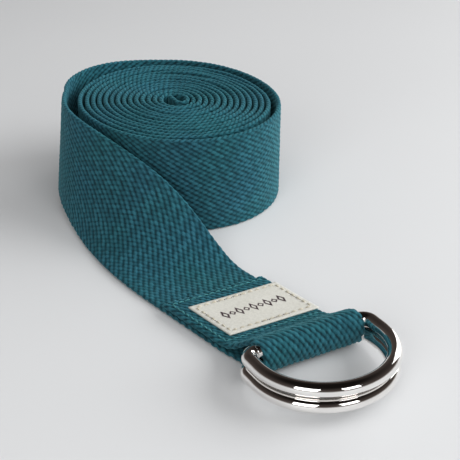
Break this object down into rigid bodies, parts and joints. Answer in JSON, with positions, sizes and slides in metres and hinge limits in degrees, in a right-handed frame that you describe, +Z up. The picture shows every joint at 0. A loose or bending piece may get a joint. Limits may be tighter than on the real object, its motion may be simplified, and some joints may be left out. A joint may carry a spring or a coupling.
{
  "type": "stretching strap",
  "caption": "Cotton webbing strap wound into a roll, its free end folded and sewn round two stacked metal D-rings, with a stitched label.",
  "frame": {"origin": "on the axis of the roll, at the level of the floor it stands on", "axes": "+X from the roll towards the rings, +Z up, +Y to the left when looking from the roll towards the rings"},
  "size_m": [0.2037, 0.0951, 0.0404],
  "materials": {
    "webbing": "coarse woven cotton",
    "label": "matt woven tape",
    "label_thread": "matt thread",
    "seam_thread": "matt thread",
    "ring_metal": "polished"
  },
  "bodies": {
    "wound_strap": {"webbing_roll": "webbing", "webbing_tail": "webbing"},
    "sewn_end": {"webbing_underlay": "webbing", "webbing_turnback": "webbing", "webbing_loop": "webbing", "label": "label", "label_seam": "label_thread", "box_seam": "seam_thread"},
    "upper_ring": {"ring_upper": "ring_metal"},
    "lower_ring": {"ring_lower": "ring_metal"}
  },
  "joints": [
    {"name": "sewn_end_lift", "type": "hinge", "parent": "wound_strap", "child": "sewn_end", "pos_m": [0.084, -0.02687, 0.0019], "axis": [0, -1, 0], "range_deg": [0, 70]},
    {"name": "upper_ring_turn", "type": "hinge", "parent": "sewn_end", "child": "upper_ring", "pos_m": [0.1285, -0.0168, 0.009], "axis": [0, -1, 0], "range_deg": [0, 178]},
    {"name": "lower_ring_turn", "type": "hinge", "parent": "sewn_end", "child": "lower_ring", "pos_m": [0.1292, -0.0176, 0.0043], "axis": [0, -1, 0], "range_deg": [-145, 0]}
  ]
}
